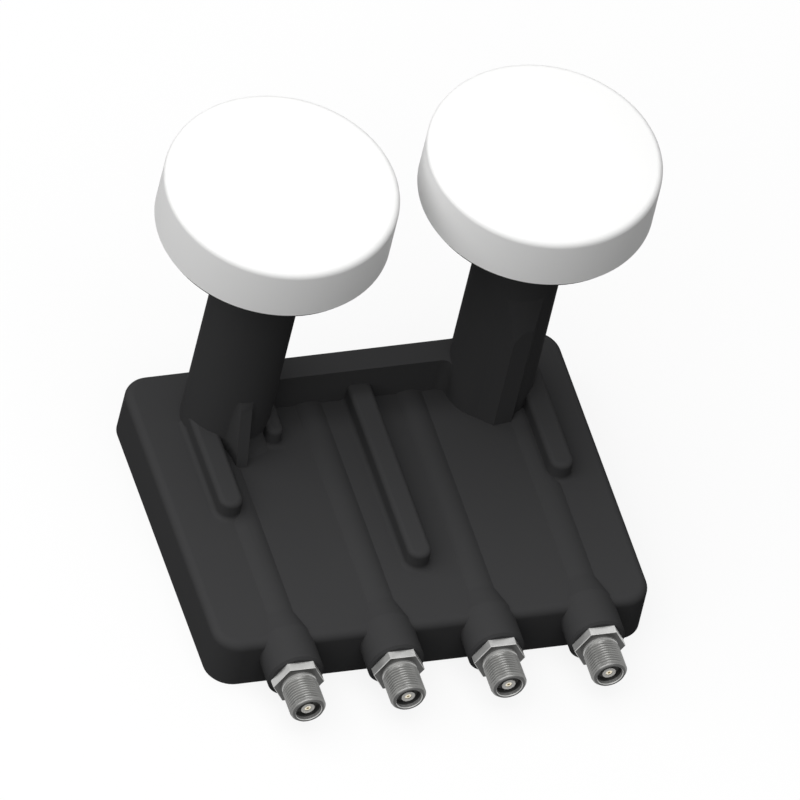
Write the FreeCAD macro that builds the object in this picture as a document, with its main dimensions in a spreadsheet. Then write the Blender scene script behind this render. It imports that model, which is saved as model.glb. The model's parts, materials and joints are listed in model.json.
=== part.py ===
import FreeCAD, Part
import math
import os
import Sketcher
from FreeCAD import Placement, Rotation, Vector

os.makedirs("parts", exist_ok=True)
doc = FreeCAD.newDocument("satellite_lnb")

# Frame: X runs along the connector row, Y from the connectors to the back, Z up to the caps.
# Origin: middle of the flat outer face of the rear cover. All sizes in millimetres.

# driving sizes, each written once
SIZES = [
    ("case_width", 117.8),
    ("case_depth", 92.4),
    ("case_height", 15.0),
    ("corner_round", 7.0),
    ("top_round", 2.2),
    ("wall", 2.4),
    ("neck_offset", 35.6),
    ("neck_back", 29.2),
    ("neck_dia", 23.0),
    ("neck_wall", 1.3),
    ("shell_start", 79.0),
    ("shell_rim", 90.1),
    ("rim_step", 0.9),
    ("cap_dia", 61.5),
    ("cap_height", 16.0),
    ("cap_wall", 1.6),
    ("cap_round", 2.5),
    ("rim_plate", 1.1),
    ("collar_height", 4.4),
    ("collar_gap", 0.3),
    ("collar_thick", 2.4),
    ("port_pitch", 27.2),
    ("port_shift", 1.0),
    ("port_drop", 5.0),
    ("boss_dia", 15.0),
    ("boss_reach", 8.0),
    ("boss_bevel", 0.6),
    ("boss_straight", 3.2),
    ("flare_step", 0.5),
    ("flare_turn", 5.2),
    ("flare_end", 9.5),
    ("tunnel_dia", 12.2),
    ("tunnel_bore", 10.0),
    ("tunnel_bore_end", 16.0),
    ("shank_dia", 9.0),
    ("shank_gap", 0.15),
    ("hex_flats", 12.0),
    ("hex_thick", 2.4),
    ("barrel_dia", 9.525),
    ("barrel_length", 9.1),
    ("barrel_bore", 6.8),
    ("pin_dia", 1.0),
    ("seal_wall", 1.0),
    ("seal_depth", 0.7),
    ("cap_seal_low", 1.2),
    ("cap_seal_wide", 1.3),
    ("cap_seal_tall", 1.6),
    ("bar_width", 6.4),
    ("bar_height", 5.8),
    ("bar_round", 1.4),
    ("bar_foot", 1.3),
    ("bar_tip", 0.05),
    ("left_bar", -43.6),
    ("right_bar", 45.9),
    ("side_bar_end", -4.5),
    ("middle_bar_end", -28.1),
    ("middle_bar", 0.4),
    ("short_bar_width", 4.4),
    ("short_bar_right", -23.2),
    ("short_bar_end", 17.6),
    ("bridge_front", 30.1),
    ("bridge_deep", 6.7),
    ("bridge_top", 26.5),
    ("bridge_round", 2.6),
    ("gusset_width", 1.8),
    ("gusset_shift", 0.3),
    ("cove_round", 5.0),
    ("cove_sink", 0.2),
    ("cove_start", -88.0),
    ("cove_sweep", 38.0),
    ("gusset_toe", 12.2),
    ("gusset_top", 33.0),
    ("keel_side", 2.1),
    ("keel_reach", 13.2),
    ("keel_flat", 2.9),
    ("keel_slope", 46.0),
    ("keel_top", 62.0),
    ("rear_thick", 2.4),
    ("rear_inset", 1.2),
    ("rear_gap", 0.15),
    ("gasket_width", 0.9),
    ("gasket_thick", 0.6),
    ("screw_post", 7.0),
    ("screw_gap", 0.05),
    ("screw_dia", 2.9),
    ("screw_head", 5.6),
    ("screw_head_deep", 1.3),
    ("screw_length", 8.0),
    ("screw_inset", 5.7),
    ("chassis_gap", 0.3),
    ("chassis_side", 7.9),
    ("chassis_front", 7.5),
    ("chassis_back", 1.2),
    ("chassis_plate", 1.5),
    ("parts_room", 2.8),
    ("chassis_wall", 2.0),
    ("guide_bore", 17.5),
    ("guide_dia", 19.8),
    ("guide_joint", 22.0),
    ("spigot_height", 4.0),
    ("spigot_wall", 0.6),
    ("spigot_gap", 0.05),
    ("horn_lip", 99.0),
    ("horn_mouth", 30.0),
    ("horn_wall", 1.4),
    ("ring_gap", 0.5),
    ("ring_wall", 1.4),
    ("ring_step", 5.8),
    ("ring_height", 8.0),
    ("ring_plate", 1.5),
    ("ledge_width", 2.2),
    ("board_drop", 3.4),
    ("board_thick", 1.2),
    ("board_gap", 0.3),
    ("probe_width", 1.2),
    ("probe_thick", 0.3),
    ("probe_reach", 4.6),
    ("lid_thick", 1.2),
    ("cup_depth", 4.2),
    ("cup_wall", 1.0),
    ("chip_side", 7.0),
    ("chip_thick", 0.9),
    ("lid_screw_x", 16.0),
    ("lid_screw_front", -25.0),
    ("lid_screw_back", 35.0),
    ("lid_screw_dia", 2.4),
    ("lid_head_dia", 4.6),
    ("lid_head_deep", 1.4),
    ("lid_screw_tip", 0.6),
    ("lid_post", 6.0),
    ("hump_dia", 9.4),
    ("hump_bore", 6.6),
    ("tail_dia", 6.4),
    ("tail_length", 6.0),
    ("pin_tail", 2.5),
    ("board_ledge", 1.2),
    ("probe_root", 3.0),
    ("chip_x", 14.0),
    ("chip_y", 12.0),
    ("core_dia", 4.4),
    ("core_gap", 0.05),
    ("face_drop", 0.9),
    ("nose_dia", 3.6),
    ("nose_bore", 1.8),
]

sheet = doc.addObject("Spreadsheet::Sheet", "Dims")
for row, (name, value) in enumerate(SIZES, start=1):
    sheet.set("A%d" % row, name)
    sheet.set("B%d" % row, str(value))
    sheet.setAlias("B%d" % row, name)
doc.recompute()


# a size that knows its value and the sheet formula behind it
class Size:
    def __init__(self, value, text):
        self.value = float(value)
        self.text = text

    def __add__(self, other):
        other = size(other)
        return Size(self.value + other.value, "(%s + %s)" % (self.text, other.text))

    def __sub__(self, other):
        other = size(other)
        return Size(self.value - other.value, "(%s - %s)" % (self.text, other.text))

    def __mul__(self, factor):
        other = size(factor)
        return Size(self.value * other.value, "(%s * %s)" % (self.text, other.text))

    def __truediv__(self, factor):
        other = size(factor)
        return Size(self.value / other.value, "(%s / %s)" % (self.text, other.text))

    def __neg__(self):
        return Size(-self.value, "(-1 * %s)" % self.text)


def size(item):
    if isinstance(item, Size):
        return item
    return Size(item, repr(float(item)))


S = {name: Size(value, "Dims." + name) for name, value in SIZES}


# builders for sketches and features
def make_body(name):
    body = doc.addObject("PartDesign::Body", name)
    body.Label = name
    return body


def make_sketch(body, role, base=(0, 0, 0), turn=None):
    plane = [item for item in body.Origin.OriginFeatures if item.Role == role][0]
    sketch = body.newObject("Sketcher::SketchObject", body.Name + "_sketch")
    sketch.AttachmentSupport = [(plane, "")]
    sketch.MapMode = "FlatFace"
    base = [size(item) for item in base]
    spin = Rotation(Vector(0, 1, 0), turn.value if turn else 0)
    sketch.AttachmentOffset = Placement(Vector(*[item.value for item in base]), spin)
    for axis, item in zip("xyz", base):
        if item.value:
            sketch.setExpression(".AttachmentOffset.Base." + axis, item.text)
    if turn:
        sketch.setExpression(".AttachmentOffset.Rotation.Angle", turn.text)
    return sketch


def pin_point(sketch, geometry, position, across, along):
    across = size(across)
    along = size(along)
    for kind, axis, item in (("DistanceX", -2, across), ("DistanceY", -1, along)):
        if item.value == 0:
            sketch.addConstraint(Sketcher.Constraint("PointOnObject", geometry, position, axis))
        else:
            number = sketch.addConstraint(
                Sketcher.Constraint(kind, -1, 1, geometry, position, item.value))
            sketch.setExpression("Constraints[%d]" % number, item.text)


def draw_loop(sketch, points):
    points = [(size(across), size(along)) for across, along in points]
    first = sketch.GeometryCount
    count = len(points)
    for index in range(count):
        here = points[index]
        there = points[(index + 1) % count]
        start = Vector(here[0].value, here[1].value, 0)
        end = Vector(there[0].value, there[1].value, 0)
        sketch.addGeometry(Part.LineSegment(start, end), False)
    for index in range(count):
        after = first + (index + 1) % count
        sketch.addConstraint(Sketcher.Constraint("Coincident", first + index, 2, after, 1))
    for index in range(count):
        pin_point(sketch, first + index, 1, points[index][0], points[index][1])


def draw_box(sketch, left, right, low, high):
    draw_loop(sketch, [(left, low), (right, low), (right, high), (left, high)])


def draw_plate(sketch, wide, deep, radius):
    first = sketch.GeometryCount
    corners = ((1, -1, -90), (1, 1, 0), (-1, 1, 90), (-1, -1, 180))
    for right, back, turn in corners:
        centre = Vector((wide - radius).value * right, (deep - radius).value * back, 0)
        ring = Part.Circle(centre, Vector(0, 0, 1), radius.value)
        start = math.radians(turn)
        sketch.addGeometry(Part.ArcOfCircle(ring, start, start + math.pi / 2), False)
    for index in range(4):
        start = sketch.getPoint(first + index, 2)
        end = sketch.getPoint(first + (index + 1) % 4, 1)
        line = sketch.addGeometry(Part.LineSegment(start, end), False)
        sketch.addConstraint(Sketcher.Constraint("Tangent", line, 1, first + index, 2))
        sketch.addConstraint(Sketcher.Constraint("Tangent", line, 2, first + (index + 1) % 4, 1))
    for index, (right, back, turn) in enumerate(corners):
        pin_point(sketch, first + index, 3, (wide - radius) * right, (deep - radius) * back)
        rule = sketch.addConstraint(Sketcher.Constraint("Radius", first + index, radius.value))
        sketch.setExpression("Constraints[%d]" % rule, radius.text)


def draw_cove(sketch, radius, base, hollow):
    first = sketch.GeometryCount
    points = [
        (radius, base + hollow), (radius - 1, base + hollow), (radius - 1, base - 1),
        (radius + hollow, base - 1), (radius + hollow, base),
    ]
    for start, end in zip(points, points[1:]):
        corner = Vector(start[0].value, start[1].value, 0)
        sketch.addGeometry(Part.LineSegment(corner, Vector(end[0].value, end[1].value, 0)), False)
    ring = Part.Circle(Vector((radius + hollow).value, (base + hollow).value, 0), Vector(0, 0, 1), hollow.value)
    curve = sketch.addGeometry(Part.ArcOfCircle(ring, math.pi, math.pi * 1.5), False)
    for index in range(3):
        sketch.addConstraint(Sketcher.Constraint("Coincident", first + index, 2, first + index + 1, 1))
    sketch.addConstraint(Sketcher.Constraint("Coincident", first, 1, curve, 1))
    sketch.addConstraint(Sketcher.Constraint("Coincident", first + 3, 2, curve, 2))
    for index in range(4):
        pin_point(sketch, first + index, 1, points[index][0], points[index][1])
    pin_point(sketch, first + 3, 2, points[4][0], points[4][1])
    rule = sketch.addConstraint(Sketcher.Constraint("Radius", curve, hollow.value))
    sketch.setExpression("Constraints[%d]" % rule, hollow.text)


def draw_circle(sketch, across, along, diameter):
    across = size(across)
    along = size(along)
    centre = Vector(across.value, along.value, 0)
    number = sketch.addGeometry(Part.Circle(centre, Vector(0, 0, 1), diameter.value / 2), False)
    pin_point(sketch, number, 3, across, along)
    rule = sketch.addConstraint(Sketcher.Constraint("Diameter", number, diameter.value))
    sketch.setExpression("Constraints[%d]" % rule, diameter.text)


def add_pad(body, sketch, length, flip=False):
    length = size(length)
    pad = body.newObject("PartDesign::Pad", body.Name + "_pad")
    pad.Profile = sketch
    pad.setExpression("Length", length.text)
    pad.Reversed = flip
    sketch.Visibility = False
    doc.recompute()
    return pad


def add_pocket(body, sketch, depth, flip=False):
    depth = size(depth)
    before = body.Shape.Volume
    pocket = body.newObject("PartDesign::Pocket", body.Name + "_pocket")
    pocket.Profile = sketch
    pocket.setExpression("Length", depth.text)
    pocket.Reversed = flip
    sketch.Visibility = False
    doc.recompute()
    if pocket.Shape.Volume >= before:
        raise RuntimeError("pocket takes nothing away: " + body.Label)
    return pocket


def add_turn(body, sketch, groove=False, angle=None):
    kind = "PartDesign::Groove" if groove else "PartDesign::Revolution"
    before = body.Shape.Volume if groove else 0
    turn = body.newObject(kind, body.Name + "_turn")
    turn.Profile = sketch
    turn.ReferenceAxis = (sketch, ["V_Axis"])
    if angle:
        turn.setExpression("Angle", angle.text)
    sketch.Visibility = False
    doc.recompute()
    if groove and turn.Shape.Volume >= before:
        raise RuntimeError("groove takes nothing away: " + body.Label)
    return turn


def find_edges(feature, wanted):
    return ["Edge%d" % number for number, edge in enumerate(feature.Shape.Edges, start=1) if wanted(edge)]


def add_round(body, feature, names, radius):
    if not names:
        raise RuntimeError("no edge to round: " + body.Label)
    rounding = body.newObject("PartDesign::Fillet", body.Name + "_round")
    rounding.Base = (feature, names)
    rounding.setExpression("Radius", size(radius).text)
    doc.recompute()
    return rounding


def add_bevel(body, feature, names, width):
    if not names:
        raise RuntimeError("no edge to bevel: " + body.Label)
    bevel = body.newObject("PartDesign::Chamfer", body.Name + "_bevel")
    bevel.Base = (feature, names)
    bevel.setExpression("Size", size(width).text)
    doc.recompute()
    return bevel


def near(value, target, slack=0.01):
    return abs(value - size(target).value) < slack


def upright(edge):
    box = edge.BoundBox
    return box.XLength < 0.01 and box.YLength < 0.01


def level(edge, height):
    box = edge.BoundBox
    return near(box.ZMin, height) and near(box.ZMax, height)


def place_body(body, across, along, up):
    for axis, item in zip("xyz", (size(across), size(along), size(up))):
        if item.value:
            body.setExpression(".Placement.Base." + axis, item.text)
    doc.recompute()


HALF_WIDE = S["case_width"] / 2
HALF_DEEP = S["case_depth"] / 2
NECK_RADIUS = S["neck_dia"] / 2
SIDES = (("left", -1), ("right", 1))
PORTS = [(number + 1, S["port_shift"] + S["port_pitch"] * (number - 1.5)) for number in range(4)]
SCREW_X = HALF_WIDE - S["screw_inset"]
SCREW_Y = HALF_DEEP - S["screw_inset"]
PORT_HEIGHT = S["case_height"] - S["port_drop"]
FLOOR = S["rear_thick"] + S["gasket_thick"]
CEILING = S["case_height"] - S["wall"]
BOARD_TOP = CEILING - S["board_drop"]
BOARD_LOW = BOARD_TOP - S["board_thick"]
CHASSIS_LOW = BOARD_LOW - S["parts_room"]
LID_LOW = CHASSIS_LOW - S["lid_thick"]
BORE = S["neck_dia"] - S["neck_wall"] * 2
SKIRT = S["shell_rim"] + S["rim_plate"]
CHASSIS_WIDE = HALF_WIDE - S["wall"] - S["chassis_side"]
CHASSIS_FRONT = -HALF_DEEP + S["wall"] + S["chassis_front"]
CHASSIS_BACK = HALF_DEEP - S["wall"] - S["chassis_back"]
HUMP_FRONT = -HALF_DEEP + S["wall"] + S["chassis_gap"]

# front cover: the one black moulding with plate, necks, ribs and connector bosses
cover = make_body("front_cover")
outline = make_sketch(cover, "XY_Plane")
draw_box(outline, -HALF_WIDE, HALF_WIDE, -HALF_DEEP, HALF_DEEP)
block = add_pad(cover, outline, S["case_height"])
block = add_round(cover, block, find_edges(block, upright), S["corner_round"])
block = add_round(cover, block, find_edges(block, lambda e: level(e, S["case_height"])), S["top_round"])

# raised bars: one beside each neck, one in the middle and a short one by the left neck
bars = make_sketch(cover, "XY_Plane", (0, 0, S["case_height"]))
half_bar = S["bar_width"] / 2
for centre in (S["left_bar"], S["right_bar"]):
    draw_box(bars, centre - half_bar, centre + half_bar, S["side_bar_end"], S["neck_back"])
draw_box(bars, S["middle_bar"] - half_bar, S["middle_bar"] + half_bar,
         S["middle_bar_end"], S["bridge_front"] + 1)
draw_box(bars, S["short_bar_right"] - S["short_bar_width"], S["short_bar_right"],
         S["short_bar_end"], S["bridge_front"] + 1)
raised = add_pad(cover, bars, S["bar_height"])
BAR_TOP = S["case_height"] + S["bar_height"]


def bar_corner(ends):
    def wanted(edge):
        box = edge.BoundBox
        raised_edge = upright(edge) and box.ZMin > S["case_height"].value - 0.01
        return raised_edge and any(near(box.YMin, end) for end in ends)
    return wanted


long_ends = (S["side_bar_end"], S["middle_bar_end"])
raised = add_round(cover, raised, find_edges(raised, bar_corner(long_ends)), half_bar - S["bar_tip"])
short_ends = (S["short_bar_end"],)
raised = add_round(cover, raised, find_edges(raised, bar_corner(short_ends)), S["short_bar_width"] / 2 - S["bar_tip"])


def bar_top_edge(edge):
    if not level(edge, BAR_TOP):
        return False
    return edge.BoundBox.YMin < S["neck_back"].value - 0.5


raised = add_round(cover, raised, find_edges(raised, bar_top_edge), S["bar_round"])


def bar_foot_edge(edge):
    box = edge.BoundBox
    if not level(edge, S["case_height"]):
        return False
    inner = abs(box.Center.x) < HALF_WIDE.value - S["top_round"].value - 1
    return inner and -HALF_DEEP.value + 10 < box.Center.y < S["neck_back"].value - 0.5


raised = add_round(cover, raised, find_edges(raised, bar_foot_edge), S["bar_foot"])

# cable tunnels, low humps on the plate that run back from each connector
middle = make_sketch(cover, "XZ_Plane", (0, 0, HALF_DEEP - 3))
for number, across in PORTS[1:3]:
    draw_circle(middle, across, PORT_HEIGHT, S["tunnel_dia"])
add_pad(cover, middle, HALF_DEEP - 3 + S["bridge_front"] + 1, flip=True)
outer = make_sketch(cover, "XZ_Plane", (0, 0, HALF_DEEP - 3))
for number, across in (PORTS[0], PORTS[3]):
    draw_circle(outer, across, PORT_HEIGHT, S["tunnel_dia"])
add_pad(cover, outer, HALF_DEEP - 3 + S["neck_back"] - 6, flip=True)

# connector bosses with the flare into the tunnels
boss = make_sketch(cover, "XY_Plane", (PORTS[0][1], 0, PORT_HEIGHT))
BOSS_END = -HALF_DEEP - S["boss_reach"]
boss_radius = S["boss_dia"] / 2
draw_loop(boss, [
    (0, BOSS_END),
    (boss_radius - S["boss_bevel"], BOSS_END),
    (boss_radius, BOSS_END + S["boss_bevel"]),
    (boss_radius, -HALF_DEEP + S["boss_straight"]),
    (boss_radius - S["flare_step"], -HALF_DEEP + S["flare_turn"]),
    (S["tunnel_dia"] / 2, -HALF_DEEP + S["flare_end"]),
    (0, -HALF_DEEP + S["flare_end"]),
])
one_boss = add_turn(cover, boss)
row = cover.newObject("PartDesign::LinearPattern", "boss_row")
row.Originals = [one_boss]
row.Direction = (boss, ["H_Axis"])
row.setExpression("Length", (S["port_pitch"] * 3).text)
row.Occurrences = 4
cover.Tip = row
doc.recompute()

# bridge wall between the two necks
wall = make_sketch(cover, "XY_Plane", (0, 0, S["case_height"] - 1))
draw_box(wall, -S["neck_offset"], S["neck_offset"], S["bridge_front"], S["bridge_front"] + S["bridge_deep"])
add_pad(cover, wall, S["bridge_top"] - S["case_height"] + 1)

# necks, and the shells that carry horn and cap
shafts = make_sketch(cover, "XY_Plane", (0, 0, S["case_height"] - 1))
for side, sign in SIDES:
    draw_circle(shafts, S["neck_offset"] * sign, S["neck_back"], S["neck_dia"])
necks = add_pad(cover, shafts, S["shell_start"] - S["case_height"] + 1.5)


def bridge_corner(edge):
    reach = edge.BoundBox.ZMin - S["case_height"].value
    return upright(edge) and near(edge.BoundBox.ZMax, S["bridge_top"]) and reach < 1


necks = add_round(cover, necks, find_edges(necks, bridge_corner), S["bridge_round"])

shell_radius = S["cap_dia"] / 2 - S["rim_step"]
collar_radius = S["cap_dia"] / 2 - S["cap_wall"] - S["collar_gap"]
collar_inner = collar_radius - S["collar_thick"]
COLLAR_TOP = SKIRT + S["collar_height"]
for side, sign in SIDES:
    shell = make_sketch(cover, "XZ_Plane", (S["neck_offset"] * sign, 0, -S["neck_back"]))
    draw_loop(shell, [
        (0, S["shell_start"] - 1),
        (NECK_RADIUS, S["shell_start"] - 1),
        (NECK_RADIUS, S["shell_start"]),
        (shell_radius, S["shell_rim"]),
        (shell_radius, SKIRT),
        (collar_radius, SKIRT),
        (collar_radius, COLLAR_TOP - 0.4),
        (collar_radius - 0.4, COLLAR_TOP),
        (0, COLLAR_TOP),
    ])
    add_turn(cover, shell)
    hollow = make_sketch(cover, "XZ_Plane", (S["neck_offset"] * sign, 0, -S["neck_back"]))
    draw_loop(hollow, [
        (0, S["shell_start"] + 2),
        (BORE / 2, S["shell_start"] + 2),
        (collar_inner - S["ledge_width"], S["shell_rim"] - 0.6),
        (collar_inner - S["ledge_width"], SKIRT),
        (collar_inner, SKIRT),
        (collar_inner, COLLAR_TOP + 1),
        (0, COLLAR_TOP + 1),
    ])
    add_turn(cover, hollow, groove=True)

# gusset in front of the left neck
plan = make_sketch(cover, "XY_Plane", (S["gusset_shift"] - S["neck_offset"], 0, S["case_height"] - 1))
draw_box(plan, -S["gusset_width"] / 2, S["gusset_width"] / 2, S["gusset_toe"], S["neck_back"] - 10)
add_pad(cover, plan, S["gusset_top"] - S["case_height"] + 1)
slope = make_sketch(cover, "YZ_Plane", (0, 0, S["gusset_shift"] - S["neck_offset"] - S["gusset_width"] / 2 - 0.5))
draw_loop(slope, [
    (S["gusset_toe"], S["case_height"]),
    (S["neck_back"] - NECK_RADIUS, S["gusset_top"]),
    (S["neck_back"] - NECK_RADIUS, S["gusset_top"] + 1),
    (S["gusset_toe"] - 1, S["gusset_top"] + 1),
    (S["gusset_toe"] - 1, S["case_height"]),
])
add_pocket(cover, slope, S["gusset_width"] + 1, flip=True)

# hollow curve between the foot of the left neck, the gusset and the short bar
cove = make_sketch(cover, "XZ_Plane", (-S["neck_offset"], 0, -S["neck_back"]), S["cove_start"])
draw_cove(cove, NECK_RADIUS - S["cove_sink"], S["case_height"] - S["cove_sink"], S["cove_round"])
add_turn(cover, cove, angle=S["cove_sweep"])

# keel on the front of the right neck
plan = make_sketch(cover, "XY_Plane", (S["neck_offset"], S["neck_back"], S["case_height"] - 1))
draw_loop(plan, [
    (NECK_RADIUS * -0.635, NECK_RADIUS * -0.757),
    (-S["keel_side"], -S["keel_reach"]),
    (S["keel_flat"], -S["keel_reach"] + 0.6),
    (NECK_RADIUS * 0.4, NECK_RADIUS * -0.9),
    (0, 0),
])
add_pad(cover, plan, S["keel_top"] - S["case_height"] + 1)
cone = make_sketch(cover, "XZ_Plane", (S["neck_offset"], 0, -S["neck_back"]))
draw_loop(cone, [
    (S["keel_reach"] + 0.3, S["keel_slope"]),
    (S["keel_reach"] + 2, S["keel_slope"]),
    (S["keel_reach"] + 2, S["keel_top"] + 0.5),
    (NECK_RADIUS + 0.02, S["keel_top"] + 0.5),
    (NECK_RADIUS + 0.02, S["keel_top"]),
])
add_turn(cover, cone, groove=True)

# inside of the front cover: cavity, bores for guides and connectors, seat for the rear cover
cavity = make_sketch(cover, "XY_Plane")
inner_wide = HALF_WIDE - S["wall"]
inner_deep = HALF_DEEP - S["wall"]
draw_plate(cavity, inner_wide, inner_deep, S["corner_round"] - S["wall"])
add_pocket(cover, cavity, CEILING, flip=True)
guides = make_sketch(cover, "XY_Plane")
for side, sign in SIDES:
    draw_circle(guides, S["neck_offset"] * sign, S["neck_back"], BORE)
add_pocket(cover, guides, S["shell_start"] + 2.5, flip=True)
tunnels = make_sketch(cover, "XZ_Plane", (0, 0, inner_deep))
for number, across in PORTS:
    draw_circle(tunnels, across, PORT_HEIGHT, S["tunnel_bore"])
add_pocket(cover, tunnels, S["tunnel_bore_end"])
holes = make_sketch(cover, "XZ_Plane", (0, 0, -BOSS_END))
for number, across in PORTS:
    draw_circle(holes, across, PORT_HEIGHT, S["shank_dia"] + S["shank_gap"] * 2)
add_pocket(cover, holes, S["boss_reach"] + S["wall"] + 0.1)
seats = make_sketch(cover, "XZ_Plane", (0, 0, -BOSS_END))
for number, across in PORTS:
    draw_circle(seats, across, PORT_HEIGHT, S["shank_dia"] + S["shank_gap"] * 2 + S["seal_wall"] * 2)
add_pocket(cover, seats, S["seal_depth"])
ledge = make_sketch(cover, "XY_Plane")
seat_wide = HALF_WIDE - S["rear_inset"]
seat_deep = HALF_DEEP - S["rear_inset"]
draw_plate(ledge, seat_wide, seat_deep, S["corner_round"] - S["rear_inset"])
add_pocket(cover, ledge, FLOOR, flip=True)
SCREWS = [(across, along) for along in (-1, 1) for across in (-1, 0, 1)]
posts = make_sketch(cover, "XY_Plane", (0, 0, FLOOR))
for across, along in SCREWS:
    draw_circle(posts, SCREW_X * across, SCREW_Y * along, S["screw_post"])
add_pad(cover, posts, CEILING - FLOOR + 0.5)
pilots = make_sketch(cover, "XY_Plane", (0, 0, FLOOR))
for across, along in SCREWS:
    draw_circle(pilots, SCREW_X * across, SCREW_Y * along, S["screw_dia"] + S["screw_gap"] * 2)
add_pocket(cover, pilots, S["screw_length"], flip=True)
groove = None
for side, sign in SIDES:
    groove = make_sketch(cover, "XZ_Plane", (S["neck_offset"] * sign, 0, -S["neck_back"]))
    draw_box(groove, collar_radius - S["cap_seal_wide"], collar_radius + 1,
             SKIRT + S["cap_seal_low"], SKIRT + S["cap_seal_low"] + S["cap_seal_tall"])
    add_turn(cover, groove, groove=True)

# rear cover with counterbored screw holes and stiffening ribs
rear = make_body("rear_cover")
plate = make_sketch(rear, "XY_Plane")
rear_wide = seat_wide - S["rear_gap"]
rear_deep = seat_deep - S["rear_gap"]
rear_round = S["corner_round"] - S["rear_inset"] - S["rear_gap"]
draw_plate(plate, rear_wide, rear_deep, rear_round)
slab = add_pad(rear, plate, S["rear_thick"])
add_bevel(rear, slab, find_edges(slab, lambda e: level(e, 0)), 0.4)
ribs = make_sketch(rear, "XY_Plane", (0, 0, S["rear_thick"] - 0.5))
for along in (-12, 12):
    draw_box(ribs, -rear_wide * 0.8, rear_wide * 0.8, along - 0.8, along + 0.8)
add_pad(rear, ribs, 1.2)
shanks = make_sketch(rear, "XY_Plane")
for across, along in SCREWS:
    draw_circle(shanks, SCREW_X * across, SCREW_Y * along, S["screw_dia"] + 0.5)
add_pocket(rear, shanks, S["rear_thick"] + 0.1, flip=True)
heads = make_sketch(rear, "XY_Plane")
for across, along in SCREWS:
    draw_circle(heads, SCREW_X * across, SCREW_Y * along, S["screw_head"] + 0.5)
add_pocket(rear, heads, S["screw_head_deep"], flip=True)

# cover gasket, a thin frame between the rear cover and the ledge of the front cover
gasket = make_body("cover_gasket")
frame = make_sketch(gasket, "XY_Plane", (0, 0, S["rear_thick"]))
draw_plate(frame, rear_wide, rear_deep, rear_round)
add_pad(gasket, frame, S["gasket_thick"])
frame = make_sketch(gasket, "XY_Plane", (0, 0, S["rear_thick"]))
draw_plate(frame, rear_wide - S["gasket_width"], rear_deep - S["gasket_width"], rear_round - S["gasket_width"])
add_pocket(gasket, frame, S["gasket_thick"] + 0.1, flip=True)


# screws with a cross recess, head down
def make_screw(name, across, along, up, shaft, length, head, head_deep):
    screw = make_body(name)
    profile = make_sketch(screw, "XZ_Plane")
    draw_loop(profile, [
        (0, -head_deep),
        (head / 2 - 0.3, -head_deep),
        (head / 2, -head_deep + 0.3),
        (head / 2, 0),
        (shaft / 2, 0),
        (shaft / 2, length - 0.8),
        (shaft / 2 - 0.7, length),
        (0, length),
    ])
    add_turn(screw, profile)
    cross = make_sketch(screw, "XY_Plane", (0, 0, -head_deep))
    slot = head * 0.3
    draw_loop(cross, [
        (-slot, -0.4), (-0.4, -0.4), (-0.4, -slot), (0.4, -slot), (0.4, -0.4), (slot, -0.4),
        (slot, 0.4), (0.4, 0.4), (0.4, slot), (-0.4, slot), (-0.4, 0.4), (-slot, 0.4),
    ])
    add_pocket(screw, cross, head_deep * 0.6, flip=True)
    place_body(screw, across, along, up)


for number, (across, along) in enumerate(SCREWS, start=1):
    make_screw("cover_screw_%d" % number, SCREW_X * across, SCREW_Y * along, S["screw_head_deep"],
               S["screw_dia"], S["screw_length"], S["screw_head"], S["screw_head_deep"])

# chassis: plate under the ceiling, side walls, ledge for the board, guide stubs and port humps
chassis = make_body("chassis")
PLATE_LOW = CEILING - S["chassis_plate"]
NOTCH = S["screw_post"] / 2 + 1


def chassis_loop(sketch, inset):
    wide = CHASSIS_WIDE - inset
    front = CHASSIS_FRONT + inset
    back = CHASSIS_BACK - inset
    notch = NOTCH + inset
    draw_loop(sketch, [
        (-wide, front), (wide, front), (wide, back), (notch, back),
        (notch, SCREW_Y - notch), (-notch, SCREW_Y - notch), (-notch, back), (-wide, back),
    ])


body_plan = make_sketch(chassis, "XY_Plane", (0, 0, CHASSIS_LOW))
chassis_loop(body_plan, size(0))
cast = add_pad(chassis, body_plan, CEILING - CHASSIS_LOW)
cast = add_round(chassis, cast, find_edges(cast, upright), 1.2)
room = make_sketch(chassis, "XY_Plane", (0, 0, CHASSIS_LOW))
chassis_loop(room, S["chassis_wall"])
add_pocket(chassis, room, BOARD_TOP - CHASSIS_LOW, flip=True)
upper = make_sketch(chassis, "XY_Plane", (0, 0, BOARD_TOP))
chassis_loop(upper, S["chassis_wall"] + S["board_ledge"])
add_pocket(chassis, upper, PLATE_LOW - BOARD_TOP, flip=True)
stubs = make_sketch(chassis, "XY_Plane", (0, 0, BOARD_TOP + S["probe_thick"] + 0.3))
for side, sign in SIDES:
    draw_circle(stubs, S["neck_offset"] * sign, S["neck_back"], S["guide_dia"])
add_pad(chassis, stubs, S["guide_joint"] - BOARD_TOP - S["probe_thick"] - 0.3)
spigots = make_sketch(chassis, "XY_Plane", (0, 0, S["guide_joint"] - 1))
for side, sign in SIDES:
    draw_circle(spigots, S["neck_offset"] * sign, S["neck_back"], S["guide_bore"] + S["spigot_wall"] * 2)
add_pad(chassis, spigots, S["spigot_height"] + 1)
LID_SCREWS = [(across, along) for along in ("front", "back") for across in (-1, 1)]
studs = make_sketch(chassis, "XY_Plane", (0, 0, BOARD_TOP))
for across, along in LID_SCREWS:
    draw_circle(studs, S["lid_screw_x"] * across, S["lid_screw_" + along], S["lid_post"])
add_pad(chassis, studs, CEILING - BOARD_TOP - 0.5)
humps = make_sketch(chassis, "XZ_Plane", (0, 0, -HUMP_FRONT))
for number, across in PORTS:
    draw_circle(humps, across, PORT_HEIGHT, S["hump_dia"])
add_pad(chassis, humps, CHASSIS_FRONT - HUMP_FRONT + 1, flip=True)
bores = make_sketch(chassis, "XY_Plane", (0, 0, BOARD_TOP))
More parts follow.
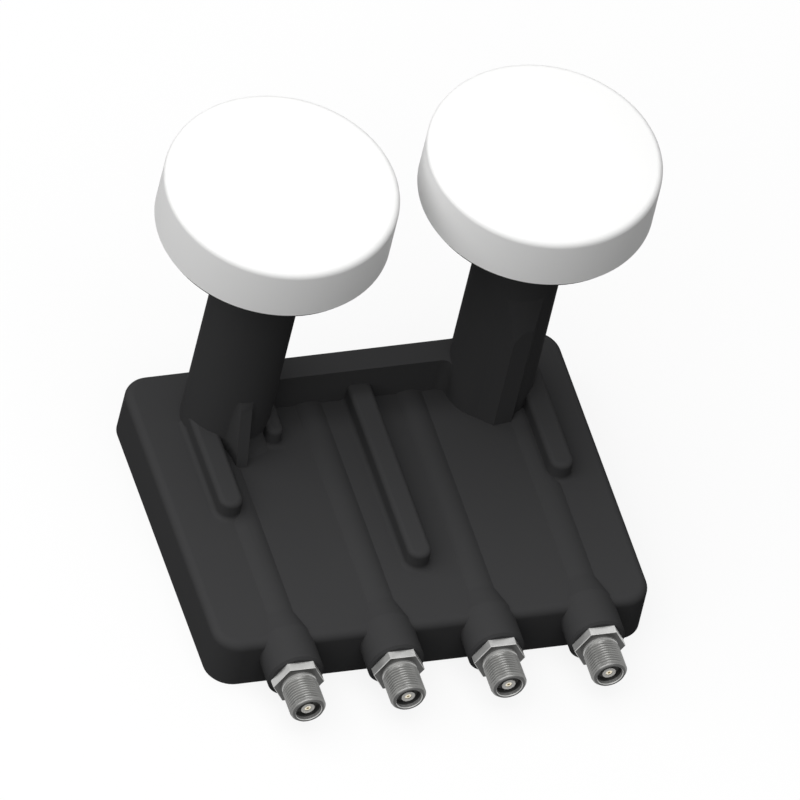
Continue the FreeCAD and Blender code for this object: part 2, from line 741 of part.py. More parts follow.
for side, sign in SIDES:
    draw_circle(bores, S["neck_offset"] * sign, S["neck_back"], S["guide_bore"])
add_pocket(chassis, bores, S["guide_joint"] + S["spigot_height"], flip=True)
taps = make_sketch(chassis, "XY_Plane", (0, 0, BOARD_TOP))
for across, along in LID_SCREWS:
    draw_circle(taps, S["lid_screw_x"] * across, S["lid_screw_" + along], S["lid_screw_dia"] + 0.1)
add_pocket(chassis, taps, CEILING - BOARD_TOP + 0.1, flip=True)
ports = make_sketch(chassis, "XZ_Plane", (0, 0, -HUMP_FRONT))
for number, across in PORTS:
    draw_circle(ports, across, PORT_HEIGHT, S["hump_bore"])
add_pocket(chassis, ports, CHASSIS_FRONT - HUMP_FRONT + S["chassis_wall"] + S["board_ledge"] + 0.1)

# feed horns: tube, flare, mouth and choke rings turned in one piece
guide_radius = S["guide_dia"] / 2
bore_radius = S["guide_bore"] / 2
socket = bore_radius + S["spigot_wall"] + S["spigot_gap"]
mouth = S["horn_mouth"] / 2
plate_out = collar_inner - S["ring_gap"]
RING_BASE = SKIRT + S["ring_plate"]
RING_TOP = RING_BASE + S["ring_height"]
for side, sign in SIDES:
    horn = make_body(side + "_feed_horn")
    profile = make_sketch(horn, "XZ_Plane")
    step = plate_out - S["ring_step"]
    draw_loop(profile, [
        (socket, S["guide_joint"]),
        (guide_radius, S["guide_joint"]),
        (guide_radius, S["shell_start"] + 3.5),
        (mouth + S["horn_wall"], SKIRT),
        (plate_out, SKIRT),
        (plate_out, RING_TOP),
        (plate_out - S["ring_wall"], RING_TOP),
        (plate_out - S["ring_wall"], RING_BASE),
        (step, RING_BASE),
        (step, RING_TOP),
        (step - S["ring_wall"], RING_TOP),
        (step - S["ring_wall"], RING_BASE),
        (mouth + S["horn_wall"], RING_BASE),
        (mouth + S["horn_wall"], S["horn_lip"]),
        (mouth, S["horn_lip"]),
        (mouth, RING_BASE),
        (bore_radius, S["shell_start"] + 4),
        (bore_radius, S["guide_joint"] + S["spigot_height"] + 0.2),
        (socket, S["guide_joint"] + S["spigot_height"] + 0.2),
    ])
    add_turn(horn, profile)
    place_body(horn, S["neck_offset"] * sign, S["neck_back"], 0)

# white caps and their seals
for side, sign in SIDES:
    cap = make_body(side + "_cap")
    profile = make_sketch(cap, "XZ_Plane", (0, 0, 0))
    cap_radius = S["cap_dia"] / 2
    CAP_TOP = SKIRT + S["cap_height"]
    draw_loop(profile, [
        (0, CAP_TOP - S["cap_wall"]),
        (cap_radius - S["cap_wall"], CAP_TOP - S["cap_wall"]),
        (cap_radius - S["cap_wall"], SKIRT),
        (cap_radius, SKIRT),
        (cap_radius, CAP_TOP),
        (0, CAP_TOP),
    ])
    shell = add_turn(cap, profile)
    shell = add_round(cap, shell, find_edges(shell, lambda e: level(e, CAP_TOP)), S["cap_round"])
    add_bevel(cap, shell, find_edges(shell, lambda e: level(e, SKIRT) and near(e.BoundBox.XMax, cap_radius)), 0.3)
    place_body(cap, S["neck_offset"] * sign, S["neck_back"], 0)
    seal = make_body(side + "_cap_seal")
    profile = make_sketch(seal, "XZ_Plane")
    draw_box(profile, collar_radius - S["cap_seal_wide"] + 0.05, cap_radius - S["cap_wall"] - 0.05,
             SKIRT + S["cap_seal_low"], SKIRT + S["cap_seal_low"] + S["cap_seal_tall"] - 0.05)
    add_turn(seal, profile)
    place_body(seal, S["neck_offset"] * sign, S["neck_back"], 0)

# circuit board under the chassis with the openings of both guides
board = make_body("main_board")
plan = make_sketch(board, "XY_Plane", (0, 0, BOARD_TOP - S["board_thick"]))
chassis_loop(plan, S["chassis_wall"] + S["board_gap"])
laminate = add_pad(board, plan, S["board_thick"])
add_bevel(board, laminate, find_edges(laminate, lambda e: upright(e) and abs(e.BoundBox.Center.x) > CHASSIS_WIDE.value / 2), 1.5)
openings = make_sketch(board, "XY_Plane", (0, 0, BOARD_TOP - S["board_thick"]))
for side, sign in SIDES:
    draw_circle(openings, S["neck_offset"] * sign, S["neck_back"], S["guide_bore"])
for across, along in LID_SCREWS:
    draw_circle(openings, S["lid_screw_x"] * across, S["lid_screw_" + along], S["lid_screw_dia"] + 0.4)
add_pocket(board, openings, S["board_thick"] + 0.1, flip=True)
for side, sign in SIDES:
    for turn, ending in ((0, "_probe_h"), (1, "_probe_v")):
        probe = make_body(side + ending)
        plan = make_sketch(probe, "XY_Plane")
        root = -bore_radius - S["probe_root"]
        tip = -bore_radius + S["probe_reach"]
        thin = S["probe_width"] / 2
        if turn:
            draw_loop(plan, [(-thin, root), (thin, root), (thin, tip), (-thin, tip)])
        else:
            draw_loop(plan, [(root * sign, -thin), (root * sign, thin), (tip * sign, thin), (tip * sign, -thin)])
        add_pad(probe, plan, S["probe_thick"])
        place_body(probe, S["neck_offset"] * sign, S["neck_back"], BOARD_TOP)
for name, across, along in (("left_converter_chip", -S["chip_x"], S["chip_y"]),
                            ("right_converter_chip", S["chip_x"], S["chip_y"]),
                            ("switch_chip", size(0), -S["chip_y"])):
    chip = make_body(name)
    plan = make_sketch(chip, "XY_Plane")
    half = S["chip_side"] / 2
    draw_box(plan, -half, half, -half, half)
    case = add_pad(chip, plan, S["chip_thick"], flip=True)
    add_bevel(chip, case, find_edges(case, lambda e: level(e, -S["chip_thick"])), 0.2)
    place_body(chip, across, along, BOARD_LOW)

# shield lid that closes the chassis, with a cup under each guide
lid = make_body("shield_lid")
plan = make_sketch(lid, "XY_Plane", (0, 0, LID_LOW))
chassis_loop(plan, size(0.2))
sheet_metal = add_pad(lid, plan, S["lid_thick"])
add_round(lid, sheet_metal, find_edges(sheet_metal, upright), 1.0)
CUP_TOP = BOARD_LOW - 0.3
cups = make_sketch(lid, "XY_Plane", (0, 0, CUP_TOP - S["cup_depth"]))
for side, sign in SIDES:
    draw_circle(cups, S["neck_offset"] * sign, S["neck_back"], S["guide_bore"] + S["cup_wall"] * 2)
add_pad(lid, cups, S["cup_depth"])
wells = make_sketch(lid, "XY_Plane", (0, 0, CUP_TOP - S["cup_depth"] + S["cup_wall"]))
for side, sign in SIDES:
    draw_circle(wells, S["neck_offset"] * sign, S["neck_back"], S["guide_bore"])
add_pocket(lid, wells, S["cup_depth"], flip=True)
passes = make_sketch(lid, "XY_Plane", (0, 0, LID_LOW))
for across, along in LID_SCREWS:
    draw_circle(passes, S["lid_screw_x"] * across, S["lid_screw_" + along], S["lid_screw_dia"] + 0.4)
add_pocket(lid, passes, S["lid_thick"] + 0.1, flip=True)
for number, (across, along) in enumerate(LID_SCREWS, start=1):
    make_screw("lid_screw_%d" % number, S["lid_screw_x"] * across, S["lid_screw_" + along], LID_LOW,
               S["lid_screw_dia"], CEILING - S["lid_screw_tip"] - LID_LOW, S["lid_head_dia"], S["lid_head_deep"])

# connectors: hexagon body with barrel, insulator, centre contact and seal, built about their own axis
HEX_BACK = size(0)
HEX_FRONT = -S["hex_thick"]
BARREL_END = HEX_FRONT - S["barrel_length"]
SHANK_END = S["boss_reach"] + S["wall"]
TAIL_END = SHANK_END + S["tail_length"]
CORE = S["core_dia"] / 2
across_corners = S["hex_flats"] / math.sqrt(3)
for number, across in PORTS:
    plug = make_body("connector_%d" % number)
    hexagon = make_sketch(plug, "XZ_Plane")
    draw_loop(hexagon, [
        (across_corners * math.cos(math.radians(60 * corner)), across_corners * math.sin(math.radians(60 * corner)))
        for corner in range(6)
    ])
    add_pad(plug, hexagon, S["hex_thick"])
    opening = make_sketch(plug, "XZ_Plane")
    draw_circle(opening, 0, 0, S["barrel_bore"])
    add_pocket(plug, opening, S["hex_thick"], flip=True)
    bevels = make_sketch(plug, "XY_Plane")
    flat = S["hex_flats"] / 2
    draw_loop(bevels, [
        (flat - 0.1, HEX_FRONT),
        (across_corners + 0.4, HEX_FRONT),
        (across_corners + 0.4, HEX_FRONT + 0.9),
    ])
    add_turn(plug, bevels, groove=True)
    profile = make_sketch(plug, "XY_Plane")
    shaft = S["shank_dia"] / 2
    barrel = S["barrel_dia"] / 2
    hole = S["barrel_bore"] / 2
    draw_loop(profile, [
        (hole, BARREL_END),
        (barrel - 0.5, BARREL_END),
        (barrel, BARREL_END + 0.5),
        (barrel, HEX_FRONT - 0.9),
        (barrel - 0.4, HEX_FRONT - 0.7),
        (barrel - 0.4, HEX_FRONT + 0.1),
        (shaft, HEX_BACK - 0.1),
        (shaft, SHANK_END),
        (S["tail_dia"] / 2, SHANK_END),
        (S["tail_dia"] / 2, TAIL_END),
        (CORE, TAIL_END),
        (CORE, SHANK_END - 3),
        (hole, SHANK_END - 3),
    ])
    add_turn(plug, profile)
    place_body(plug, across, BOSS_END, PORT_HEIGHT)
    core = make_body("insulator_%d" % number)
    profile = make_sketch(core, "XY_Plane")
    face = BARREL_END + S["face_drop"]
    seat = hole - S["core_gap"]
    draw_loop(profile, [
        (S["nose_bore"] / 2, face),
        (S["nose_dia"] / 2, face),
        (S["nose_dia"] / 2, face + 1.6),
        (seat, face + 1.6),
        (seat, SHANK_END - 3),
        (CORE - S["core_gap"], SHANK_END - 3),
        (CORE - S["core_gap"], TAIL_END),
        (S["pin_dia"] / 2 + 0.05, TAIL_END),
        (S["pin_dia"] / 2 + 0.05, face + 5),
        (S["nose_bore"] / 2, face + 5),
    ])
    add_turn(core, profile)
    place_body(core, across, BOSS_END, PORT_HEIGHT)
    pin = make_body("contact_%d" % number)
    profile = make_sketch(pin, "XY_Plane")
    sleeve = S["nose_bore"] / 2 - 0.05
    draw_loop(profile, [
        (0, face + 1),
        (S["pin_dia"] / 2 - 0.15, face + 1),
        (S["pin_dia"] / 2 - 0.15, face + 0.1),
        (sleeve, face + 0.1),
        (sleeve, face + 4.8),
        (S["pin_dia"] / 2, face + 4.8),
        (S["pin_dia"] / 2, TAIL_END + S["pin_tail"]),
        (0, TAIL_END + S["pin_tail"]),
    ])
    add_turn(pin, profile)
    place_body(pin, across, BOSS_END, PORT_HEIGHT)
    ring = make_body("connector_seal_%d" % number)
    profile = make_sketch(ring, "XY_Plane")
    draw_box(profile, shaft + 0.1, shaft + S["shank_gap"] + S["seal_wall"] - 0.1, 0, S["seal_depth"])
    add_turn(ring, profile)
    place_body(ring, across, BOSS_END, PORT_HEIGHT)

# export
for item in doc.Objects:
    if "Invalid" in item.State or "Error" in item.State:
        raise RuntimeError("broken object: " + item.Name)
bodies = [item for item in doc.Objects if item.TypeId == "PartDesign::Body"]
for body in bodies:
    if body.Shape.isNull() or not body.Shape.isValid():
        raise RuntimeError("bad shape: " + body.Label)
for body in bodies:
    body.Shape.exportStep("parts/" + body.Label + ".step")
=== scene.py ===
import json
import math

import bpy
from mathutils import Matrix, Vector


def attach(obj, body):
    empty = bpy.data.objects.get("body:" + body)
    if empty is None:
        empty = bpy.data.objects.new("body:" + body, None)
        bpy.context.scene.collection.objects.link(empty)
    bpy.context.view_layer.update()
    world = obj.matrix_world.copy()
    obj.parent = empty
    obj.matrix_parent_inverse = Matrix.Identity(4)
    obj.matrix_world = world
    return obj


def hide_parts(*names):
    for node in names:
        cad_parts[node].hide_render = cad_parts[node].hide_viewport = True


MM = 0.001
TURN = 2 * math.pi

# plate and necks, in millimetres
PLATE_TOP = 15.0
NECK_RADIUS = 11.5
NECK_X = 35.6
NECK_Y = 29.2

# weather caps, in millimetres
CAP_TOP = 107.2
CAP_LOW = 91.2
CAP_RADIUS = 30.75
CAP_WALL = 1.6
CAP_ROUND = 1.8
CAP_LOW_BEVEL = 0.3
CAP_TOP_RINGS = (20, 8, 0.01)
CAP_STEPS = 192

# web in front of the left neck, in millimetres; the flank runs from the edge of its flat front to the neck
WEB_X = -35.9
WEB_LOW = 14.6
WEB_TOP = 34.0
WEB_DEEP = 5.75
WEB_SINK = 0.1
WEB_ROOT = 0.6
WEB_FLANK = (1.52, 1.58, 1.7, 1.9, 2.2, 2.6, 3.2, 3.8, 4.4)
WEB_HOLLOW = 4
WEB_LEVELS = 15

# coaxial ports, in millimetres; heights lie along the port, from its tail to its open end in front
PORT_COUNT = 4
PORT_PITCH = 27.2
PORT_SHIFT = 1.0
PORT_Z = 10.0
PORT_STEPS = 96
TAIL_END = -37.8
TAIL_RADIUS = 3.2
TAIL_BORE = 2.2
SHANK_END = -43.8
SHANK_RADIUS = 4.5
HEX_BACK = -54.2
HEX_FRONT = HEX_BACK - 2.4
HEX_FLATS = 12.0
HEX_BEVEL = 0.15
BARREL_END = -65.7
BARREL_RADIUS = 4.7625
COLLAR_RADIUS = BARREL_RADIUS - 0.1
COLLAR_LONG = 0.5
END_BEVEL_DEEP = 0.2
END_BEVEL_LONG = 0.25
BORE_RADIUS = 3.4
BORE_FLOOR = SHANK_END - 3
MOUTH_BEVEL = 0.15
# the bore is painted with shade beyond this depth from the mouth
MOUTH_BRIGHT = 1.1

# thread of the barrel, in millimetres; it fades out before both ends
THREAD_PITCH = 25.4 / 32
THREAD_DEEP = 0.49
THREAD_ROOT = BARREL_RADIUS - THREAD_DEEP
THREAD_START = HEX_FRONT - 0.7
THREAD_END = BARREL_END + 0.35
THREAD_FADE = 0.5
THREAD_REST = 0.05
THREAD_FLAT = 1.35
THREAD_STEPS = 8

# insulators, in millimetres
CORE_FACE = -64.8
CORE_GAP = 0.05
CORE_STEPS = 64
NOSE_RADIUS = 1.8
NOSE_LONG = 1.6
NOSE_BORE = 0.9
NOSE_BORE_LONG = 5
PIN_HOLE = 0.55

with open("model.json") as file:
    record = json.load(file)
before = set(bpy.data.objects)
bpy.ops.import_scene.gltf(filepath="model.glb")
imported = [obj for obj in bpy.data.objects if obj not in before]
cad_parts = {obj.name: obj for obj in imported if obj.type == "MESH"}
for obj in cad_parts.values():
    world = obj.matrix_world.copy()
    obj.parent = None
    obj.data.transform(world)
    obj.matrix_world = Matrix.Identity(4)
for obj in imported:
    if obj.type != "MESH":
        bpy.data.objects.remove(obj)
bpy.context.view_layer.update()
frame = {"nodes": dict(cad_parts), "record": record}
scene = bpy.context.scene


# materials: clouded colour and roughness and a fine grain, all in object space
def noise(tree, coords, scale, detail):
    node = tree.nodes.new("ShaderNodeTexNoise")
    node.inputs["Scale"].default_value = scale
    node.inputs["Detail"].default_value = detail
    tree.links.new(coords, node.inputs["Vector"])
    return node.outputs["Fac"]


def span(tree, value, low, high):
    """Noise stays near its middle, so only its middle is stretched from low to high."""
    node = tree.nodes.new("ShaderNodeMapRange")
    node.inputs["From Min"].default_value = 0.3
    node.inputs["From Max"].default_value = 0.7
    node.inputs["To Min"].default_value = low
    node.inputs["To Max"].default_value = high
    tree.links.new(value, node.inputs["Value"])
    return node.outputs["Result"]


def mottled(name, dark, light, roughness, cloud, grain, strength, depth):
    material = bpy.data.materials.new(name)
    material.use_nodes = True
    tree = material.node_tree
    shader = tree.nodes["Principled BSDF"]
    coords = tree.nodes.new("ShaderNodeTexCoord").outputs["Object"]
    clouds = noise(tree, coords, cloud, 3)
    tint = tree.nodes.new("ShaderNodeMix")
    tint.data_type = "RGBA"
    tint.inputs["A"].default_value = (*dark, 1)
    tint.inputs["B"].default_value = (*light, 1)
    tree.links.new(clouds, tint.inputs["Factor"])
    tree.links.new(tint.outputs["Result"], shader.inputs["Base Color"])
    tree.links.new(span(tree, clouds, *roughness), shader.inputs["Roughness"])
    bump = tree.nodes.new("ShaderNodeBump")
    bump.inputs["Strength"].default_value = strength
    bump.inputs["Distance"].default_value = depth
    tree.links.new(noise(tree, coords, grain, 4), bump.inputs["Height"])
    tree.links.new(bump.outputs["Normal"], shader.inputs["Normal"])
    return material, shader


def plastic(name, dark, light, roughness, level, grain, depth):
    material, shader = mottled(name, dark, light, roughness, 40, grain, 0.25, depth)
    shader.inputs["Specular IOR Level"].default_value = level
    return material


def metal(name, dark, light, roughness, grain, depth, metallic=1.0):
    material, shader = mottled(name, dark, light, roughness, 300, grain, 0.3, depth)
    shader.inputs["Metallic"].default_value = metallic
    return material


black = plastic(
    "black_plastic", (0.0445, 0.0445, 0.0455), (0.0475, 0.0475, 0.0485),
    roughness=(0.46, 0.54), level=0.0002, grain=2600, depth=0.00003,
)
white = plastic(
    "cap_plastic", (0.87, 0.87, 0.865), (0.90, 0.90, 0.895),
    roughness=(0.46, 0.54), level=0.05, grain=1800, depth=0.00001,
)
# painted shade: the insulator's cream plastic darkened where it sits deep in the bore
insulator_shade_plastic = plastic(
    "insulator_shoulder", (0.10, 0.10, 0.095), (0.13, 0.13, 0.125),
    roughness=(0.4, 0.5), level=0.2, grain=1800, depth=0.00001,
)
cream = plastic(
    "insulator_plastic", (0.78, 0.77, 0.73), (0.84, 0.83, 0.79),
    roughness=(0.4, 0.5), level=0.4, grain=1800, depth=0.00001,
)
green = plastic(
    "board_laminate", (0.03, 0.17, 0.08), (0.04, 0.23, 0.11),
    roughness=(0.3, 0.42), level=0.5, grain=1500, depth=0.00001,
)
resin = plastic(
    "chip_resin", (0.02, 0.02, 0.02), (0.028, 0.028, 0.028),
    roughness=(0.5, 0.6), level=0.4, grain=4000, depth=0.00002,
)
rubber = plastic(
    "seal_rubber", (0.018, 0.018, 0.018), (0.026, 0.026, 0.026),
    roughness=(0.6, 0.72), level=0.3, grain=2000, depth=0.00003,
)
nickel = metal(
    "plated_nickel", (0.50, 0.50, 0.49), (0.60, 0.60, 0.59),
    roughness=(0.3, 0.42), grain=3000, depth=0.00001, metallic=0.7,
)
# painted shade: the thread gets a darker nickel in place of the shade in its grooves
thread_shade_nickel = metal(
    "thread_painted_shade", (0.20, 0.20, 0.195), (0.30, 0.30, 0.29),
    roughness=(0.3, 0.42), grain=3000, depth=0.00001, metallic=0.6,
)
# painted shade: a darker nickel on the front-facing faces of the port and deep in its bore
shade_painted_nickel = metal(
    "shade_painted_nickel", (0.085, 0.085, 0.083), (0.12, 0.12, 0.117),
    roughness=(0.4, 0.5), grain=3000, depth=0.00001, metallic=0.6,
)
cast = metal(
    "die_cast", (0.52, 0.53, 0.54), (0.62, 0.63, 0.64),
    roughness=(0.42, 0.56), grain=2400, depth=0.00004,
)
tinned = metal(
    "tinned_sheet", (0.58, 0.59, 0.60), (0.68, 0.69, 0.70),
    roughness=(0.26, 0.36), grain=900, depth=0.00001,
)
zinc = metal(
    "zinc_screw", (0.54, 0.54, 0.53), (0.66, 0.66, 0.64),
    roughness=(0.3, 0.4), grain=2200, depth=0.00001,
)
bronze = metal(
    "contact_bronze", (0.80, 0.74, 0.60), (0.86, 0.80, 0.66),
    roughness=(0.24, 0.34), grain=2200, depth=0.00001,
)
copper = metal(
    "probe_copper", (0.68, 0.38, 0.22), (0.78, 0.46, 0.28),
    roughness=(0.26, 0.38), grain=1600, depth=0.00001,
)

BY_SLOT = {
    "black_shell": black,
    "white_cap": white,
    "die_cast": cast,
    "lid_sheet": tinned,
    "laminate": green,
    "seal_rubber": rubber,
    "chip_resin": resin,
    "screw_steel": zinc,
    "plated_body": nickel,
    "insulator_white": cream,
    "contact_bronze": bronze,
    "probe_copper": copper,
}
for entry in frame["record"]["subparts"]:
    node = frame["nodes"][entry["node"]]
    node.data.materials.clear()
    node.data.materials.append(BY_SLOT[entry["material_slot"]])


# mesh helpers
def make_piece(name, points, faces, materials, sharp_angle=35):
    mesh = bpy.data.meshes.new(name)
    mesh.from_pydata([Vector(point) * MM for point in points], [], faces)
    mesh.update()
    for material in materials:
        mesh.materials.append(material)
    for polygon in mesh.polygons:
        polygon.use_smooth = True
    mesh.set_sharp_from_angle(angle=math.radians(sharp_angle))
    piece = bpy.data.objects.new(name, mesh)
    scene.collection.objects.link(piece)
    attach(piece, "root")
    return piece


def ring_faces(rings, count, closed=True):
    """Quads between rings of count points each; closed joins the last ring to the first."""
    faces = []
    for row in range(rings if closed else rings - 1):
        here = row * count
        there = (row + 1) % rings * count
        for step in range(count):
            after = (step + 1) % count
            faces.append((here + step, here + after, there + after, there + step))
    return faces


def lathe(profile, count, place):
    """Turn a closed profile of (radius, height) pairs; a radius may depend on the angle."""
    points = []
    for radius, height in profile:
        for step in range(count):
            angle = TURN * step / count
            reach = radius(angle) if callable(radius) else radius
            points.append(place(reach, angle, height))
    return points, ring_faces(len(profile), count)


def paint_bands(piece, bands, count):
    """Give each band of count faces the material with its number."""
    for index, polygon in enumerate(piece.data.polygons):
        polygon.material_index = bands[index // count]


def arc(centre, radius, start, end, steps):
    """Points of an arc between two angles in degrees."""
    angles = [math.radians(start + (end - start) * step / steps) for step in range(steps + 1)]
    return [
        (centre[0] + radius * math.cos(angle), centre[1] + radius * math.sin(angle))
        for angle in angles
    ]


# weather caps, one wall with a rounded top edge
def make_cap(name, node, centre_x):
    inner = CAP_RADIUS - CAP_WALL
    ceiling = CAP_TOP - CAP_WALL
    inner_round = CAP_ROUND - CAP_WALL
    profile = [
        (inner, CAP_LOW),
        (CAP_RADIUS - CAP_LOW_BEVEL, CAP_LOW),
        (CAP_RADIUS, CAP_LOW + CAP_LOW_BEVEL),
    ]
    profile += arc((CAP_RADIUS - CAP_ROUND, CAP_TOP - CAP_ROUND), CAP_ROUND, 0, 90, 8)
    profile += [(radius, CAP_TOP) for radius in CAP_TOP_RINGS]
    profile += [(radius, ceiling) for radius in reversed(CAP_TOP_RINGS)]
    profile += arc((inner - inner_round, ceiling - inner_round), inner_round, 90, 0, 4)

    def place(radius, angle, height):
        return (centre_x + radius * math.cos(angle), NECK_Y + radius * math.sin(angle), height)

    points, faces = lathe(profile, CAP_STEPS, place)
    piece = make_piece(name, points, faces, [white])
    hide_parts(node)


make_cap("left_weather_cap", "left_cap", -NECK_X)
make_cap("right_weather_cap", "right_cap", NECK_X)


# web in front of the left neck, with hollow flanks that run out onto the neck
def make_web():
    offsets = [-offset for offset in reversed(WEB_FLANK)] + list(WEB_FLANK)
    flat, spread = WEB_FLANK[0], WEB_FLANK[-1]
    points = []

    def skin(offset, radius):
        return NECK_Y - math.sqrt(radius ** 2 - (WEB_X + offset + NECK_X) ** 2)

    for level in range(WEB_LEVELS):
        height = WEB_LOW + (WEB_TOP - WEB_LOW) * level / (WEB_LEVELS - 1)
        deep = WEB_DEEP * (WEB_TOP - height) / (WEB_TOP - PLATE_TOP)
        front = NECK_Y - NECK_RADIUS - deep
        for offset in offsets:
            share = ((spread - abs(offset)) / (spread - flat)) ** WEB_HOLLOW
            back = skin(offset, NECK_RADIUS) + WEB_SINK
            points.append((WEB_X + offset, back + (front - back) * share, height))
        for offset in reversed(offsets):
            points.append((WEB_X + offset, skin(offset, NECK_RADIUS - WEB_ROOT), height))
    count = len(offsets) * 2
    top = (WEB_LEVELS - 1) * count
    faces = ring_faces(WEB_LEVELS, count, closed=False)
    faces.append(tuple(reversed(range(count))))
    faces.append(tuple(range(top, top + count)))
    piece = make_piece("left_neck_web", points, faces, [black], sharp_angle=40)


make_web()


# coaxial ports: tail, shank, hexagon, threaded barrel and open mouth; the thread, the front faces and the
# deep bore are darkened with painted shade
# finishes: plated nickel, nickel darkened with painted shade on the thread, and painted shade on the front
# faces and in the deep bore
BRIGHT, THREAD_SHADE, PAINTED_SHADE = range(3)
PORT_METALS = [nickel, thread_shade_nickel, shade_painted_nickel]


def hexagon(inset):
    def radius(angle):
        sector = angle % (TURN / 6) - TURN / 12
        return HEX_FLATS / 2 / math.cos(sector) - inset
    return radius


def thread(height):
    run_in = (THREAD_START - height) / THREAD_FADE
    run_out = (height - THREAD_END + THREAD_REST) / THREAD_FADE
    fade = max(0, min(1, run_in, run_out))

    def radius(angle):
        phase = ((THREAD_START - height) / THREAD_PITCH + angle / TURN) % 1
        ridge = 1 - abs(2 * phase - 1)
        return THREAD_ROOT + THREAD_DEEP * fade * min(1, ridge * THREAD_FLAT)
    return radius


def thread_rings():
    long = THREAD_START - THREAD_END
    steps = int(long / THREAD_PITCH * THREAD_STEPS)
    heights = [THREAD_START - long * step / steps for step in range(steps + 1)]
    # the whole thread carries the darker nickel, painted shade for its grooves
    return [(thread(height), height, THREAD_SHADE) for height in heights]


def port_place(centre_x):
    def place(radius, angle, height):
        return (centre_x + radius * math.cos(angle), height, PORT_Z + radius * math.sin(angle))
    return place


def make_port(number, centre_x):
    rings = [
        (TAIL_BORE, TAIL_END, BRIGHT),
        (TAIL_RADIUS, TAIL_END, BRIGHT),
        (TAIL_RADIUS, SHANK_END, BRIGHT),
        (SHANK_RADIUS, SHANK_END, BRIGHT),
        (SHANK_RADIUS, HEX_BACK, BRIGHT),
        (hexagon(HEX_BEVEL), HEX_BACK, BRIGHT),
        (hexagon(0), HEX_BACK - HEX_BEVEL, BRIGHT),
        (hexagon(0), HEX_FRONT + HEX_BEVEL, BRIGHT),
        (hexagon(HEX_BEVEL), HEX_FRONT, PAINTED_SHADE),
        (COLLAR_RADIUS, HEX_FRONT, BRIGHT),
        (COLLAR_RADIUS, HEX_FRONT - COLLAR_LONG, BRIGHT),
    ]
    rings += thread_rings()
    rings += [
        (THREAD_ROOT, BARREL_END + END_BEVEL_LONG, PAINTED_SHADE),
        (THREAD_ROOT - END_BEVEL_DEEP, BARREL_END, PAINTED_SHADE),
        (BORE_RADIUS + MOUTH_BEVEL, BARREL_END, BRIGHT),
        (BORE_RADIUS, BARREL_END + MOUTH_BEVEL, BRIGHT),
        (BORE_RADIUS, BARREL_END + MOUTH_BRIGHT, PAINTED_SHADE),
        (BORE_RADIUS, BORE_FLOOR, PAINTED_SHADE),
        (TAIL_BORE, BORE_FLOOR, BRIGHT),
    ]
    profile = [(radius, height) for radius, height, finish in rings]
    points, faces = lathe(profile, PORT_STEPS, port_place(centre_x))
    piece = make_piece("port_body_%d" % number, points, faces, PORT_METALS, sharp_angle=28)
    paint_bands(piece, [finish for radius, height, finish in rings], PORT_STEPS)
    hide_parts("connector_%d" % number)


# insulators: a cream nose face, with painted shade darkening the rest of each insulator inside the bore
def make_core(number, centre_x):
    seat = BORE_RADIUS - CORE_GAP
    tail = TAIL_BORE - CORE_GAP
    profile = [
        (NOSE_BORE, CORE_FACE),
        (NOSE_RADIUS, CORE_FACE),
        (NOSE_RADIUS, CORE_FACE + NOSE_LONG),
        (seat, CORE_FACE + NOSE_LONG),
        (seat, BORE_FLOOR),
        (tail, BORE_FLOOR),
        (tail, TAIL_END),
        (PIN_HOLE, TAIL_END),
        (PIN_HOLE, CORE_FACE + NOSE_BORE_LONG),
        (NOSE_BORE, CORE_FACE + NOSE_BORE_LONG),
    ]
    points, faces = lathe(profile, CORE_STEPS, port_place(centre_x))
    piece = make_piece("port_core_%d" % number, points, faces, [cream, insulator_shade_plastic])
    # only the nose face keeps the cream; every other band takes the painted shade
    paint_bands(piece, [0] + [1] * (len(profile) - 1), CORE_STEPS)
    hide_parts("insulator_%d" % number)


for index in range(PORT_COUNT):
    centre_x = PORT_SHIFT + PORT_PITCH * (index - (PORT_COUNT - 1) / 2)
    make_port(index + 1, centre_x)
    make_core(index + 1, centre_x)

# camera: a parallel view at the photograph's angle, in metres
RIGHT = Vector((0.94586, -0.28014, 0.16390))
UP = Vector((0.11180, 0.75531, 0.64576))
FORWARD = Vector((0.30470, 0.59248, -0.74574))
VIEW_CENTRE = Vector((0.014293, 0.032880, 0.008763))
VIEW_WIDTH = 0.20495
VIEW_DISTANCE = 0.8
camera = bpy.data.objects.new("camera", bpy.data.cameras.new("camera"))
scene.collection.objects.link(camera)
camera.data.type = "ORTHO"
camera.data.ortho_scale = VIEW_WIDTH
camera.data.clip_start = 0.01
camera.data.clip_end = 5
camera.rotation_mode = "QUATERNION"
camera.rotation_quaternion = Matrix((RIGHT, UP, -FORWARD)).transposed().to_quaternion()
camera.location = VIEW_CENTRE - FORWARD * VIEW_DISTANCE
scene.camera = camera


# floor and world: white to the camera and in reflections, a plain grey to the light
def backdrop_factor(tree):
    """1 for rays from the camera, off glossy faces and through clear ones, else 0."""
    path = tree.nodes.new("ShaderNodeLightPath")
    total = path.outputs["Is Camera Ray"]
    for name in ("Is Glossy Ray", "Is Transmission Ray"):
        larger = tree.nodes.new("ShaderNodeMath")
        larger.operation = "MAXIMUM"
        tree.links.new(total, larger.inputs[0])
        tree.links.new(path.outputs[name], larger.inputs[1])
        total = larger.outputs[0]
    return total


def diffuse(tree, level):
    node = tree.nodes.new("ShaderNodeBsdfDiffuse")
    node.inputs["Color"].default_value = (level, level, level, 1)
    return node.outputs[0]


def mix_shader(tree, factor, first, second):
    """A factor that is a number is set, and one that is a socket is linked."""
    node = tree.nodes.new("ShaderNodeMixShader")
    if isinstance(factor, float):
        node.inputs["Fac"].default_value = factor
    else:
        tree.links.new(factor, node.inputs["Fac"])
    tree.links.new(first, node.inputs[1])
    tree.links.new(second, node.inputs[2])
    return node.outputs[0]


FLOOR_HALF = 6
FLOOR_DROP = 0.0001
FLOOR_GREY = 0.1
PAPER_WHITE = 0.9
PAPER_GLOW = 0.86
SKY_GREY = 0.22

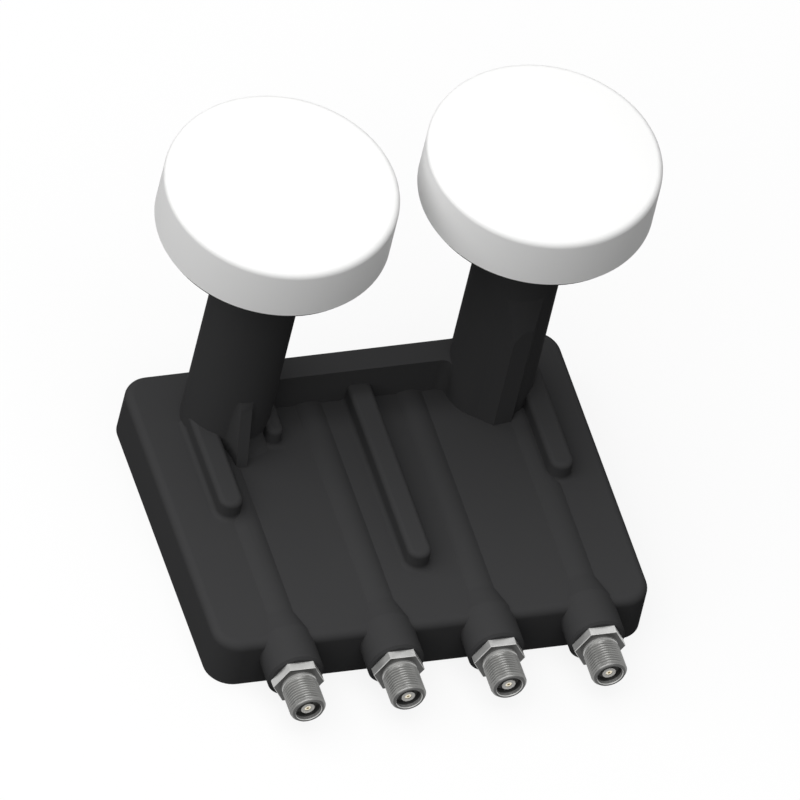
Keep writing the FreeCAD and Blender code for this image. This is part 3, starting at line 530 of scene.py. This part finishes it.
floor_mesh = bpy.data.meshes.new("floor")
floor_corners = [
    (FLOOR_HALF * side_x, FLOOR_HALF * side_y, 0)
    for side_x, side_y in ((-1, -1), (1, -1), (1, 1), (-1, 1))
]
floor_mesh.from_pydata(floor_corners, [], [(0, 1, 2, 3)])
floor = bpy.data.objects.new("floor", floor_mesh)
floor.location.z = -FLOOR_DROP
scene.collection.objects.link(floor)
floor_material = bpy.data.materials.new("floor_paper")
floor_material.use_nodes = True
floor_tree = floor_material.node_tree
floor_tree.nodes.remove(floor_tree.nodes["Principled BSDF"])
glow = floor_tree.nodes.new("ShaderNodeEmission")
glow.inputs["Color"].default_value = (1, 1, 1, 1)
glow.inputs["Strength"].default_value = 1
paper = mix_shader(floor_tree, PAPER_GLOW, diffuse(floor_tree, PAPER_WHITE), glow.outputs[0])
grey = diffuse(floor_tree, FLOOR_GREY)
seen = mix_shader(floor_tree, backdrop_factor(floor_tree), grey, paper)
floor_tree.links.new(seen, floor_tree.nodes["Material Output"].inputs["Surface"])
floor_mesh.materials.append(floor_material)

world = bpy.data.worlds.new("world")
scene.world = world
world.use_nodes = True
sky_tree = world.node_tree
sky = sky_tree.nodes["Background"]
sky.inputs["Color"].default_value = (1, 1, 1, 1)
strength = sky_tree.nodes.new("ShaderNodeMapRange")
strength.inputs["To Min"].default_value = SKY_GREY
strength.inputs["To Max"].default_value = 1
sky_tree.links.new(backdrop_factor(sky_tree), strength.inputs["Value"])
sky_tree.links.new(strength.outputs["Result"], sky.inputs["Strength"])

# lamp: one broad soft box high on the left, in metres and watts
KEY_AIM = Vector((0, 0.02, 0.04))
KEY_WAY = Vector((-0.44, -0.08, 1.0)).normalized()
KEY_DISTANCE = 1.6
KEY_SIDE = 3.0
KEY_POWER = 54
key = bpy.data.objects.new("key_box", bpy.data.lights.new("key_box", "AREA"))
key.data.shape = "SQUARE"
key.data.size = KEY_SIDE
key.data.energy = KEY_POWER
key.location = KEY_AIM + KEY_WAY * KEY_DISTANCE
key.rotation_mode = "QUATERNION"
key.rotation_quaternion = (-KEY_WAY).to_track_quat("-Z", "Y")
scene.collection.objects.link(key)

scene.view_settings.view_transform = "Standard"
